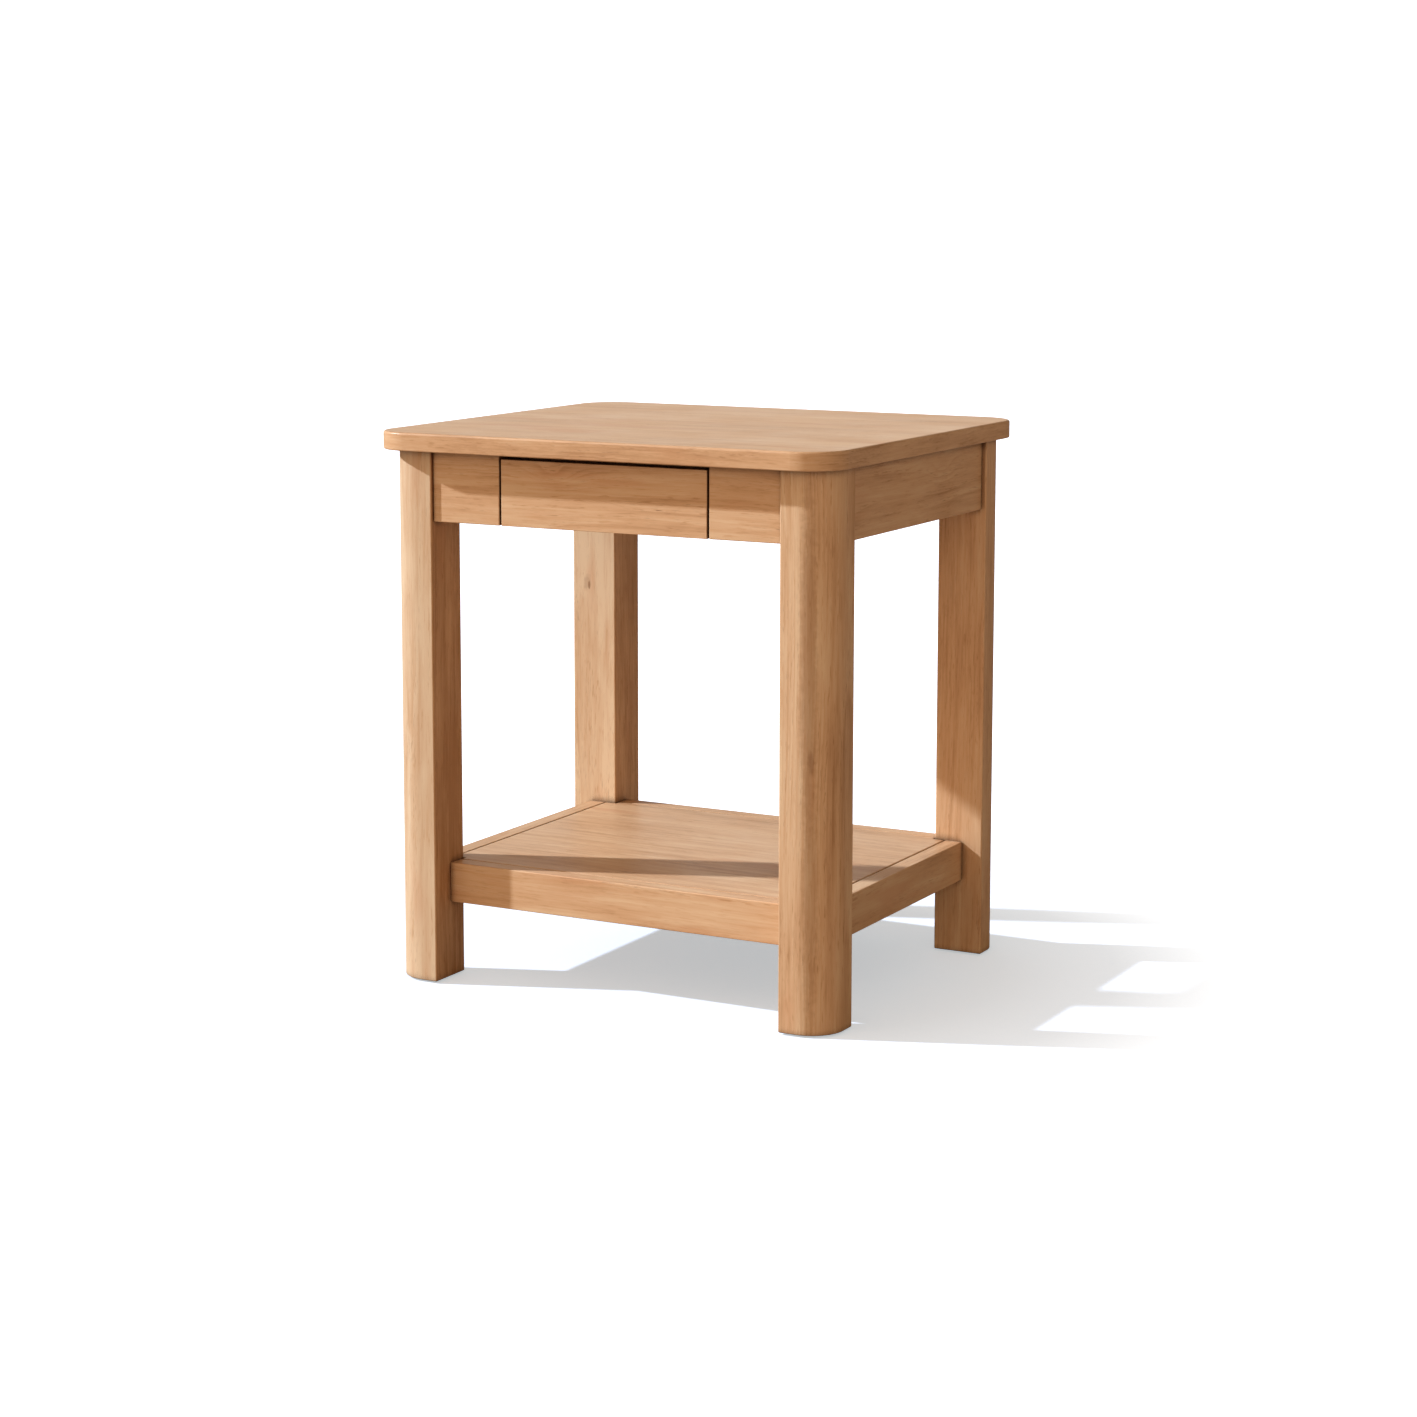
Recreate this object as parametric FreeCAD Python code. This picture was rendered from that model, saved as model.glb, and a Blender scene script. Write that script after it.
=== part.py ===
"""Side table with one drawer and a lower shelf, as a bench-ready assembly of separate solids.

Millimetres. +Z is up, the front (drawer side) faces -Y, +X is to the right seen from the front.
The origin is on the floor, under the middle of the table top.
Every function below makes one kind of piece; write() saves a piece as parts/NODE.step.
"""

import math
import os

import FreeCAD
import Part

# ---------------------------------------------------------------- driving dimensions
WIDTH, DEPTH, HEIGHT = 500.0, 450.0, 550.0

TOP_THICK = 18.0
TOP_CORNER_R = 40.0
TOP_UPPER_EASE = 2.5
TOP_LOWER_EASE = 1.2
OVERHANG_X, OVERHANG_Y = 8.0, 20.0

LEG = 52.0
LEG_ROUND = 34.0
ARRIS = 1.4
LEG_FOOT_EASE = 1.0
LEG_CHAMFER = 10.0
LEG_CHAMFER_RISE = 6.0

APRON_HEIGHT = 70.0
APRON_THICK = 20.0
APRON_RECESS_Y = 4.0
APRON_RECESS_X = 5.0
EASE = 1.0

DRAWER_FRONT_HALF = 112.2
DRAWER_GAP = 2.3
DRAWER_TOP_GAP = 5.5
DRAWER_FRONT_THICK = 18.0
DRAWER_FRONT_EASE = 0.6
DRAWER_LIP = 12.0
FINGER_BEVEL = 8.0
BOX_THICK = 12.0
BOX_HEIGHT = 44.0
BOX_LENGTH = 320.0
BOTTOM_THICK = 4.0
BOTTOM_RISE = 4.0
GROOVE_DEPTH = 5.0
GROOVE_PLAY = 0.3
BOX_DOWEL_HEIGHTS = (17.0, 35.0)
FRONT_SCREW_SPREAD = 80.0
FRONT_SCREW_INSET = 13.0

GUIDE_HALF = 116.0
GUIDE_THICK = 18.0
GUIDE_HEIGHT = 54.0
TIE_THICK = 12.0
TIE_WIDE = 60.0
TIE_SCREW_INSET = 15.0
TIE_SCREW_SPREAD = 70.0

SLIDE_LENGTH = 300.0
SLIDE_SETBACK = 3.0
SLIDE_SPACE = 10.0
SLIDE_RISE = 22.0
BALL_R = 2.0
CAGE_LENGTH = 84.0
CAGE_CENTRE = -28.0
BALL_PITCH = 14.0
BALLS_PER_ROW = 6
TAB_GAP, TAB_THICK, TAB_HALF = 0.5, 1.2, 6.0
OUTER_SCREW_SHARES = (0.08, 0.5, 0.92)
INNER_SCREW_SHARES = (0.12, 0.46, 0.88)

SHELF_TOP_Z = 118.0
SHELF_RAIL_HEIGHT = 40.0
SHELF_RAIL_THICK = 18.0
SHELF_RECESS_Y, SHELF_RECESS_X = 27.5, 21.5
SHELF_PANEL_THICK = 18.0
SHELF_GAP = 1.4
CLEAT = 15.0
CLEAT_HALF_X, CLEAT_HALF_Y = 150.0, 125.0
CLEAT_RAIL_SCREWS_X, CLEAT_PANEL_SCREWS_X = 120.0, 40.0
CLEAT_RAIL_SCREWS_Y, CLEAT_PANEL_SCREWS_Y = 100.0, 35.0

GLIDE_R, GLIDE_THICK, GLIDE_EASE = 14.0, 2.0, 0.8
GLIDE_INSET = 27.0
NAIL_R, NAIL_LONG = 1.2, 14.0

DOWEL_R, DOWEL_HALF = 4.0, 15.0
THIN_DOWEL_R, THIN_DOWEL_HALF = 3.0, 10.0
APRON_DOWEL_INSET, SHELF_DOWEL_INSET, GUIDE_DOWEL_INSET = 16.0, 10.0, 12.0
DOWEL_END_GAP = 0.5
PLAY = 0.1

# head radius, head height, shank radius, length, recess reach
WOOD_SCREW = (3.5, 2.2, 1.75, 16.0, 2.0)
LONG_SCREW = (3.5, 2.2, 1.75, 26.0, 2.0)
SLIDE_SCREW = (3.2, 1.0, 1.6, 11.0, 1.8)
RECESS_WIDE = 0.9
RECESS_DEEP = 0.7
TIP_SHARE = 0.2

BRACKET_THICK = 2.0
BRACKET_FLANGE = 20.0
BRACKET_HEIGHT = 42.0
BRACKET_REACH = 30.0
BRACKET_SCREW_INSET = 22.0
BOLT_R, BOLT_IN_LEG, BOLT_OUT = 4.0, 38.0, 24.0
NUT_ACROSS, NUT_THICK = 13.0, 6.5
WASHER_R, WASHER_THICK = 10.0, 1.6

ANGLE_LEG, ANGLE_WIDE, ANGLE_THICK = 22.0, 16.0, 2.0
ANGLE_SPREAD = 60.0
ANGLE_SCREW_REACH = 13.2

BUMPER_R, BUMPER_THICK = 4.0, 1.6
BUMPER_DROP, BUMPER_INSET = 4.5, 20.0

# ---------------------------------------------------------------- places that follow from them
TOP_Z = HEIGHT - TOP_THICK
LEG_X, LEG_Y = WIDTH / 2 - OVERHANG_X, DEPTH / 2 - OVERHANG_Y
LEG_IN_X, LEG_IN_Y = LEG_X - LEG, LEG_Y - LEG
APRON_Z = TOP_Z - APRON_HEIGHT
APRON_Y, APRON_X = LEG_Y - APRON_RECESS_Y, LEG_X - APRON_RECESS_X
APRON_IN_Y, APRON_IN_X = APRON_Y - APRON_THICK, APRON_X - APRON_THICK
GUIDE_Z = TOP_Z - TIE_THICK - GUIDE_HEIGHT
GUIDE_TOP_Z = TOP_Z - TIE_THICK
BOX_HALF = GUIDE_HALF - SLIDE_SPACE
BOX_Z = APRON_Z + DRAWER_LIP
BOX_TOP_Z = BOX_Z + BOX_HEIGHT
BOX_Y = -APRON_Y + DRAWER_FRONT_THICK
BOX_END_Y = BOX_Y + BOX_LENGTH
SLIDE_Z = BOX_Z + SLIDE_RISE
SLIDE_Y = -APRON_IN_Y + SLIDE_SETBACK
SHELF_Y, SHELF_X = LEG_Y - SHELF_RECESS_Y, LEG_X - SHELF_RECESS_X
SHELF_IN_Y, SHELF_IN_X = SHELF_Y - SHELF_RAIL_THICK, SHELF_X - SHELF_RAIL_THICK
SHELF_RAIL_Z = SHELF_TOP_Z - SHELF_RAIL_HEIGHT
SHELF_PANEL_Z = SHELF_TOP_Z - SHELF_PANEL_THICK

X, Y, Z = FreeCAD.Vector(1, 0, 0), FreeCAD.Vector(0, 1, 0), FreeCAD.Vector(0, 0, 1)
CORNERS = {
    "front_left": (-1, -1),
    "front_right": (1, -1),
    "rear_left": (-1, 1),
    "rear_right": (1, 1),
}
SIDES = {"left": -1, "right": 1}


# ---------------------------------------------------------------- small helpers
def vec(x, y, z):
    return FreeCAD.Vector(x, y, z)


def box(xs, ys, zs):
    """A box between two values on each axis, in any order."""
    low = [min(pair) for pair in (xs, ys, zs)]
    size = [abs(pair[1] - pair[0]) for pair in (xs, ys, zs)]
    return Part.makeBox(*size, vec(*low))


def eased(solid, radius, along=None):
    """Rounds the straight edges parallel to the vector along, or every edge."""
    chosen = []
    for edge in solid.Edges:
        direction = (edge.Vertexes[-1].Point - edge.Vertexes[0].Point).normalize()
        if along is None or abs(direction.dot(along)) > 0.99:
            chosen.append(edge)
    return solid.makeFillet(radius, chosen)


def rod(radius, start, direction, length):
    return Part.makeCylinder(radius, length, start, direction)


def prism(points, height_vector):
    """Extrudes a closed polygon of points."""
    wire = Part.makePolygon(points + points[:1])
    return Part.Face(wire).extrude(height_vector)


def cut(solid, tools):
    return solid.cut(Part.makeCompound(list(tools))) if tools else solid


def write(node, *solids):
    shape = solids[0] if len(solids) == 1 else Part.makeCompound(list(solids))
    shape.exportStep(os.path.join("parts", node + ".step"))
    print(f"{node:28s} {len(shape.Solids):3d} solids {shape.Volume / 1000:9.2f} cm3")


def aimed(solid, start, direction):
    """Turns a solid made along +Z to point along direction, with its base at start."""
    turned = solid.copy()
    turned.Placement = FreeCAD.Placement(start, FreeCAD.Rotation(Z, direction))
    return turned


def screw(kind, start, direction, grow=0.0):
    """A countersunk screw, its head's flat face at start. With grow it is the hole for the screw."""
    head_r, head_h, shank_r, length, reach = kind
    tip = length * TIP_SHARE
    profile = [
        (0, 0),
        (head_r + grow, 0),
        (shank_r + grow, head_h + grow),
        (shank_r + grow, length - tip + grow),
        (0, length + 2 * grow),
    ]
    wire = Part.makePolygon([vec(r, 0, h) for r, h in profile + profile[:1]])
    body = Part.Face(wire).revolve(vec(0, 0, 0), Z, 360)
    body = Part.makeSolid(body) if body.ShapeType != "Solid" else body
    if not grow:
        half, wide = reach / 2, RECESS_WIDE / 2
        slots = [
            box((-half, half), (-wide, wide), (0, RECESS_DEEP)),
            box((-wide, wide), (-half, half), (0, RECESS_DEEP)),
        ]
        body = cut(body, [slots[0].fuse(slots[1])])
    return aimed(body, start, direction)


def screws_and_holes(kind, places):
    """Screws at (start, direction) places, and the holes that they need."""
    made = [screw(kind, *place) for place in places]
    return made, [screw(kind, *place, grow=PLAY) for place in places]


def dowels_and_holes(radius, half, places):
    """Dowels centred at (middle, direction) places, and the holes that they need."""
    made, holes = [], []
    for middle, direction in places:
        made.append(rod(radius, middle - direction * half, direction, 2 * half))
        long = half + DOWEL_END_GAP
        holes.append(rod(radius + PLAY, middle - direction * long, direction, 2 * long))
    return made, holes


# ---------------------------------------------------------------- joinery, shared by several pieces
def apron_dowel_places():
    heights = (APRON_Z + APRON_DOWEL_INSET, TOP_Z - APRON_DOWEL_INSET)
    mid_y, mid_x = APRON_Y - APRON_THICK / 2, APRON_X - APRON_THICK / 2
    for sx, sy in CORNERS.values():
        for z in heights:
            yield vec(sx * LEG_IN_X, sy * mid_y, z), X
            yield vec(sx * mid_x, sy * LEG_IN_Y, z), Y


def shelf_dowel_places():
    heights = (SHELF_RAIL_Z + SHELF_DOWEL_INSET, SHELF_TOP_Z - SHELF_DOWEL_INSET)
    mid_y, mid_x = SHELF_Y - SHELF_RAIL_THICK / 2, SHELF_X - SHELF_RAIL_THICK / 2
    for sx, sy in CORNERS.values():
        for z in heights:
            yield vec(sx * LEG_IN_X, sy * mid_y, z), X
            yield vec(sx * mid_x, sy * LEG_IN_Y, z), Y


def guide_dowel_places():
    mid_x = GUIDE_HALF + GUIDE_THICK / 2
    heights = (GUIDE_Z + GUIDE_DOWEL_INSET, GUIDE_TOP_Z - GUIDE_DOWEL_INSET)
    for sx, sy in CORNERS.values():
        for z in heights:
            yield vec(sx * mid_x, sy * APRON_IN_Y, z), Y


def bracket_frame(sx, sy):
    """Middle of the diagonal plate's outer face, the way into the leg, and the plate's long direction."""
    reach_x = LEG_IN_X - BRACKET_REACH
    reach_y = APRON_IN_Y - (APRON_IN_X - reach_x)
    on_rail, on_side = vec(sx * reach_x, sy * APRON_IN_Y, 0), vec(sx * APRON_IN_X, sy * reach_y, 0)
    middle = (on_rail + on_side) * 0.5
    long_way = (on_side - on_rail).normalize()
    inward = vec(sx, sy, 0) * math.sqrt(0.5)
    return middle + Z * (APRON_Z + APRON_HEIGHT / 2), inward, long_way, on_rail, on_side


def bracket_screw_places(sx, sy):
    *_, on_rail, on_side = bracket_frame(sx, sy)
    middle = BRACKET_THICK * math.sqrt(2) + (BRACKET_FLANGE - BRACKET_THICK) / 2
    for z in (APRON_Z + BRACKET_SCREW_INSET, TOP_Z - BRACKET_SCREW_INSET):
        yield vec(on_rail.x - sx * middle, sy * (APRON_IN_Y - BRACKET_THICK), z), vec(0, sy, 0)
        yield vec(sx * (APRON_IN_X - BRACKET_THICK), on_side.y - sy * middle, z), vec(sx, 0, 0)


def angle_places():
    """Where the six small angle brackets under the top stand: a corner point, and the way to the apron."""
    for along in (-ANGLE_SPREAD, ANGLE_SPREAD):
        for side in SIDES.values():
            yield vec(side * APRON_IN_X, along, TOP_Z), vec(side, 0, 0)
        yield vec(along, APRON_IN_Y, TOP_Z), Y


def angle_screw_places():
    for corner, way in angle_places():
        yield corner - way * ANGLE_SCREW_REACH - Z * ANGLE_THICK, Z
        yield corner - Z * ANGLE_SCREW_REACH - way * ANGLE_THICK, way


def tie_screw_places():
    """Two screws down into each guide, and two up into the table top."""
    front = -APRON_IN_Y
    for side in SIDES.values():
        for y in (front + TIE_SCREW_INSET, front + TIE_WIDE - TIE_SCREW_INSET):
            yield vec(side * (GUIDE_HALF + GUIDE_THICK / 2), y, TOP_Z), -Z
    for x in (-TIE_SCREW_SPREAD, TIE_SCREW_SPREAD):
        yield vec(x, front + TIE_WIDE / 2, GUIDE_TOP_Z), Z


def cleat_screw_places():
    """For each cleat, two screws into the rail and two up into the panel."""
    middle = CLEAT / 2
    rail_z, low_z = SHELF_PANEL_Z - middle, SHELF_PANEL_Z - CLEAT
    for side in SIDES.values():
        inner_x, inner_y = side * (SHELF_IN_X - CLEAT), side * (SHELF_IN_Y - CLEAT)
        for end in (-1, 1):
            yield vec(inner_x, end * CLEAT_RAIL_SCREWS_Y, rail_z), X * side
            yield vec(inner_x + side * middle, end * CLEAT_PANEL_SCREWS_Y, low_z), Z
            yield vec(end * CLEAT_RAIL_SCREWS_X, inner_y, rail_z), Y * side
            yield vec(end * CLEAT_PANEL_SCREWS_X, inner_y + side * middle, low_z), Z


def slide_screw_places(half, way, shares):
    """Screws of a slide member whose web's open face is half from the middle plane."""
    for side in SIDES.values():
        for share in shares:
            yield vec(side * half, SLIDE_Y + SLIDE_LENGTH * share, SLIDE_Z), X * (side * way)


def front_screw_places():
    for x in (-FRONT_SCREW_SPREAD, FRONT_SCREW_SPREAD):
        for z in (BOX_Z + FRONT_SCREW_INSET, BOX_TOP_Z - FRONT_SCREW_INSET):
            yield vec(x, BOX_Y + BOX_THICK, z), -Y


def box_dowel_places():
    inner = BOX_HALF - BOX_THICK - DOWEL_END_GAP
    for side in SIDES.values():
        for y in (BOX_Y + BOX_THICK / 2, BOX_END_Y - BOX_THICK / 2):
            for rise in BOX_DOWEL_HEIGHTS:
                yield vec(side * inner, y, BOX_Z + rise), X


# ---------------------------------------------------------------- top and legs
def rounded_rectangle(half_x, half_y, radius, z):
    """A wire with four equal round corners."""
    edges = []
    bend = radius * (1 - math.sqrt(0.5))
    x, y = half_x, half_y
    turns = [((x, -y), (1, -1)), ((x, y), (1, 1)), ((-x, y), (-1, 1)), ((-x, -y), (-1, -1))]
    marks = []
    for (cx, cy), (sx, sy) in turns:
        a = vec(cx - sx * radius, cy, z)
        b = vec(cx, cy - sy * radius, z)
        middle = vec(cx - sx * bend, cy - sy * bend, z)
        marks.append((a, middle, b) if sx * sy < 0 else (b, middle, a))
    for index, (first, middle, last) in enumerate(marks):
        edges.append(Part.Arc(first, middle, last).toShape())
        edges.append(Part.LineSegment(last, marks[(index + 1) % 4][0]).toShape())
    return Part.Wire(edges)


def table_top(holes):
    outline = rounded_rectangle(WIDTH / 2, DEPTH / 2, TOP_CORNER_R, TOP_Z)
    slab = Part.Face(outline).extrude(Z * TOP_THICK)
    for height, radius in ((HEIGHT, TOP_UPPER_EASE), (TOP_Z, TOP_LOWER_EASE)):
        rim = [e for e in slab.Edges if all(abs(v.Point.z - height) < 1e-6 for v in e.Vertexes)]
        slab = slab.makeFillet(radius, rim)
    return cut(slab, holes)


def leg_outline(sx, sy, z):
    """A square section with a broad round on the table's outer corner and small arrises elsewhere."""
    radii = {(1, 1): LEG_ROUND, (0, 1): ARRIS, (0, 0): ARRIS, (1, 0): ARRIS}
    place = {1: (LEG_X, LEG_Y), 0: (LEG_IN_X, LEG_IN_Y)}
    marks = []
    for (outer_x, outer_y), radius in radii.items():
        cx, cy = place[outer_x][0], place[outer_y][1]
        dx, dy = (1 if outer_x else -1), (1 if outer_y else -1)
        bend = radius * (1 - math.sqrt(0.5))
        along_x = vec(sx * (cx - dx * radius), sy * cy, z)
        along_y = vec(sx * cx, sy * (cy - dy * radius), z)
        middle = vec(sx * (cx - dx * bend), sy * (cy - dy * bend), z)
        marks.append((along_y, middle, along_x) if dx * dy > 0 else (along_x, middle, along_y))
    edges = []
    for index, (first, middle, last) in enumerate(marks):
        edges.append(Part.Arc(first, middle, last).toShape())
        edges.append(Part.LineSegment(last, marks[(index + 1) % 4][0]).toShape())
    return Part.Wire(edges)


def leg(sx, sy, holes):
    post = Part.Face(leg_outline(sx, sy, GLIDE_THICK)).extrude(Z * (TOP_Z - GLIDE_THICK))
    foot = [e for e in post.Edges if all(abs(v.Point.z - GLIDE_THICK) < 1e-6 for v in e.Vertexes)]
    post = post.makeFillet(LEG_FOOT_EASE, foot)
    x, y, c = LEG_IN_X, LEG_IN_Y, LEG_CHAMFER
    corner = [(x - 1, y - 1), (x + c, y - 1), (x - 1, y + c)]
    start = APRON_Z + LEG_CHAMFER_RISE
    flat = prism([vec(sx * px, sy * py, start) for px, py in corner], Z * APRON_HEIGHT)
    return cut(post, [flat, *holes])


def foot_glide(sx, sy):
    """A nailed pad, and its nail's hole in the leg."""
    x, y = sx * (LEG_X - GLIDE_INSET), sy * (LEG_Y - GLIDE_INSET)
    pad = rod(GLIDE_R, vec(x, y, 0), Z, GLIDE_THICK)
    rim = [e for e in pad.Edges if e.Closed and abs(e.Vertexes[0].Point.z) < 1e-6]
    pad = pad.makeFillet(GLIDE_EASE, rim)
    nail = rod(NAIL_R, vec(x, y, GLIDE_THICK), Z, NAIL_LONG)
    hole = rod(NAIL_R + PLAY, vec(x, y, 0), Z, GLIDE_THICK + NAIL_LONG + 1)
    return pad.fuse(nail).removeSplitter(), hole


# ---------------------------------------------------------------- aprons and guides
def front_apron(side, holes):
    inner = DRAWER_FRONT_HALF + DRAWER_GAP
    board = box((side * inner, side * LEG_IN_X), (-APRON_Y, -APRON_IN_Y), (APRON_Z, TOP_Z))
    return cut(eased(board, EASE), holes)


def side_apron(side, holes):
    board = box((side * APRON_X, side * APRON_IN_X), (-LEG_IN_Y, LEG_IN_Y), (APRON_Z, TOP_Z))
    return cut(eased(board, EASE), holes)


def rear_apron(holes):
    board = box((-LEG_IN_X, LEG_IN_X), (APRON_IN_Y, APRON_Y), (APRON_Z, TOP_Z))
    return cut(eased(board, EASE), holes)


def drawer_guide(side, holes):
    xs = (side * GUIDE_HALF, side * (GUIDE_HALF + GUIDE_THICK))
    board = box(xs, (-APRON_IN_Y, APRON_IN_Y), (GUIDE_Z, GUIDE_TOP_Z))
    return cut(eased(board, EASE, Y), holes)


def tie_rail(holes):
    half = GUIDE_HALF + GUIDE_THICK
    board = box((-half, half), (-APRON_IN_Y, -APRON_IN_Y + TIE_WIDE), (GUIDE_TOP_Z, TOP_Z))
    return cut(eased(board, EASE, X), holes)


# ---------------------------------------------------------------- lower shelf
def shelf_rail_x(sy, holes):
    ys = (sy * SHELF_Y, sy * SHELF_IN_Y)
    return cut(eased(box((-LEG_IN_X, LEG_IN_X), ys, (SHELF_RAIL_Z, SHELF_TOP_Z)), EASE), holes)


def shelf_rail_y(sx, holes):
    xs = (sx * SHELF_X, sx * SHELF_IN_X)
    return cut(eased(box(xs, (-LEG_IN_Y, LEG_IN_Y), (SHELF_RAIL_Z, SHELF_TOP_Z)), EASE), holes)


def shelf_panel(holes):
    half_x, half_y = SHELF_IN_X - SHELF_GAP, SHELF_IN_Y - SHELF_GAP
    notch_x, notch_y = LEG_IN_X - SHELF_GAP, LEG_IN_Y - SHELF_GAP
    corners = [
        (half_x, -notch_y), (half_x, notch_y), (notch_x, notch_y), (notch_x, half_y),
        (-notch_x, half_y), (-notch_x, notch_y), (-half_x, notch_y), (-half_x, -notch_y),
        (-notch_x, -notch_y), (-notch_x, -half_y), (notch_x, -half_y), (notch_x, -notch_y),
    ]
    board = prism([vec(x, y, SHELF_PANEL_Z) for x, y in corners], Z * SHELF_PANEL_THICK)
    upper = [e for e in board.Edges if all(abs(v.Point.z - SHELF_TOP_Z) < 1e-6 for v in e.Vertexes)]
    return cut(board.makeChamfer(EASE, upper), holes)


def shelf_cleat(sx, sy, holes):
    zs = (SHELF_PANEL_Z - CLEAT, SHELF_PANEL_Z)
    if sx:
        xs, ys, along = (sx * SHELF_IN_X, sx * (SHELF_IN_X - CLEAT)), (-CLEAT_HALF_Y, CLEAT_HALF_Y), Y
    else:
        xs, ys, along = (-CLEAT_HALF_X, CLEAT_HALF_X), (sy * SHELF_IN_Y, sy * (SHELF_IN_Y - CLEAT)), X
    return cut(eased(box(xs, ys, zs), EASE, along), holes)


# ---------------------------------------------------------------- corner brackets and their bolts
def corner_bracket(sx, sy, holes):
    """A steel strip bent across the corner: a diagonal plate and a flange along each apron."""
    middle, inward, long_way, on_rail, on_side = bracket_frame(sx, sy)
    t = BRACKET_THICK
    knee = t * math.tan(math.radians(22.5))
    rail_out, side_out = vec(-sx, 0, 0), vec(0, -sy, 0)
    outline = [
        on_rail + rail_out * BRACKET_FLANGE,
        on_rail,
        on_side,
        on_side + side_out * BRACKET_FLANGE,
        on_side + side_out * BRACKET_FLANGE - vec(sx, 0, 0) * t,
        on_side + side_out * knee - vec(sx, 0, 0) * t,
        on_rail + rail_out * knee - vec(0, sy, 0) * t,
        on_rail + rail_out * BRACKET_FLANGE - vec(0, sy, 0) * t,
    ]
    low = APRON_Z + (APRON_HEIGHT - BRACKET_HEIGHT) / 2
    plate = prism([p + Z * low for p in outline], Z * BRACKET_HEIGHT)
    bore = rod(BOLT_R + 4 * PLAY, middle - inward * (3 * t), inward, 6 * t)
    return cut(plate, [bore, *holes])


def bolt_set(sx, sy):
    """The hanger bolt, washer and nut of one corner, and the bolt's hole in the leg."""
    middle, inward, *_ = bracket_frame(sx, sy)
    inside = middle - inward * BRACKET_THICK
    start = middle - inward * BOLT_OUT
    bolt = rod(BOLT_R, start, inward, BOLT_OUT + BOLT_IN_LEG)
    hole = rod(BOLT_R + PLAY, start, inward, BOLT_OUT + BOLT_IN_LEG + 2)
    ring = rod(WASHER_R, inside, -inward, WASHER_THICK)
    ring = ring.cut(rod(BOLT_R + 2 * PLAY, inside + inward, -inward, WASHER_THICK + 2))
    radius = NUT_ACROSS / math.sqrt(3)
    turns = [index * math.pi / 3 for index in range(6)]
    corners = [vec(radius * math.cos(turn), radius * math.sin(turn), 0) for turn in turns]
    nut = prism(corners, Z * NUT_THICK).cut(rod(BOLT_R + PLAY, vec(0, 0, -1), Z, NUT_THICK + 2))
    return bolt, ring, aimed(nut, inside - inward * WASHER_THICK, -inward), hole


def angle_bracket(corner, way, holes):
    """A small steel angle: one leaf under the top, the other on the apron's inner face."""
    across = Z.cross(way)
    start = corner - across * (ANGLE_WIDE / 2)
    t, long = ANGLE_THICK, ANGLE_LEG
    outline = [
        start,
        start - way * long,
        start - way * long - Z * t,
        start - way * t - Z * t,
        start - way * t - Z * long,
        start - Z * long,
    ]
    return cut(prism(outline, across * ANGLE_WIDE), holes)


# ---------------------------------------------------------------- ball-bearing slides
def slide_profile(points, side, start, length):
    """Extrudes a slide's cross-section; its points are (distance from the guide, height from the middle)."""
    placed = [vec(side * (GUIDE_HALF - s), start, SLIDE_Z + h) for s, h in points]
    return prism(placed, Y * length)


def mirrored(half):
    """A profile's upper half, listed from the middle outwards, closed by its own mirror image."""
    return [(s, -h) for s, h in reversed(half)] + half


def slide_outer(side, holes):
    """A channel with turned-in lips, and a tab at its rear end that stops the inner member."""
    web, flange, height, reach, lip = 1.0, 1.0, 13.5, 8.6, 10.9
    inside = [(web, height - flange), (reach - 1, height - flange), (reach - 1, lip)]
    half = inside + [(reach, lip), (reach, height), (0, height)]
    channel = slide_profile(mirrored(half), side, SLIDE_Y, SLIDE_LENGTH)
    start = SLIDE_Y + SLIDE_LENGTH + TAB_GAP
    tab_z = (SLIDE_Z - TAB_HALF, SLIDE_Z + TAB_HALF)
    tab_x = (side * GUIDE_HALF, side * (GUIDE_HALF - reach))
    tab = box(tab_x, (start, start + TAB_THICK), tab_z)
    tail_x = (side * GUIDE_HALF, side * (GUIDE_HALF - web))
    tail = box(tail_x, (start - 2 * TAB_GAP, start + TAB_THICK), tab_z)
    return cut(channel.fuse(tail).fuse(tab).removeSplitter(), holes)


def slide_inner(side, holes):
    space, web, low, high, lip, near, lip_wide = SLIDE_SPACE, 1.0, 7.3, 8.3, 9.9, 1.7, 0.8
    inside = [(space - web, low), (near, low), (near, lip)]
    half = inside + [(near + lip_wide, lip), (near + lip_wide, high), (space, high)]
    return cut(slide_profile(mirrored(half), side, SLIDE_Y, SLIDE_LENGTH), holes)


def ball_places(side):
    centre_s, row_h = 4.75, 10.4
    for row in (-1, 1):
        for k in range(BALLS_PER_ROW):
            y = CAGE_CENTRE + (k - (BALLS_PER_ROW - 1) / 2) * BALL_PITCH
            yield vec(side * (GUIDE_HALF - centre_s), y, SLIDE_Z + row * row_h)


def slide_cage(side):
    """The thin strip that spaces the balls, running between the two members."""
    near, far, reach, low, high = 1.2, 1.5, 7.3, 10.25, 10.55
    half = [(far, low), (reach, low), (reach, high), (near, high)]
    strip = slide_profile(mirrored(half), side, CAGE_CENTRE - CAGE_LENGTH / 2, CAGE_LENGTH)
    seats = [rod(BALL_R + PLAY, place - Z, Z, 2) for place in ball_places(side)]
    return cut(strip, seats)


def slide_balls(side):
    return [Part.makeSphere(BALL_R, place) for place in ball_places(side)]


# ---------------------------------------------------------------- drawer
def groove(xs, ys):
    """The tool that cuts the bottom panel's groove."""
    low = BOX_Z + BOTTOM_RISE - GROOVE_PLAY / 2
    return box(xs, ys, (low, low + BOTTOM_THICK + GROOVE_PLAY))


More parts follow.
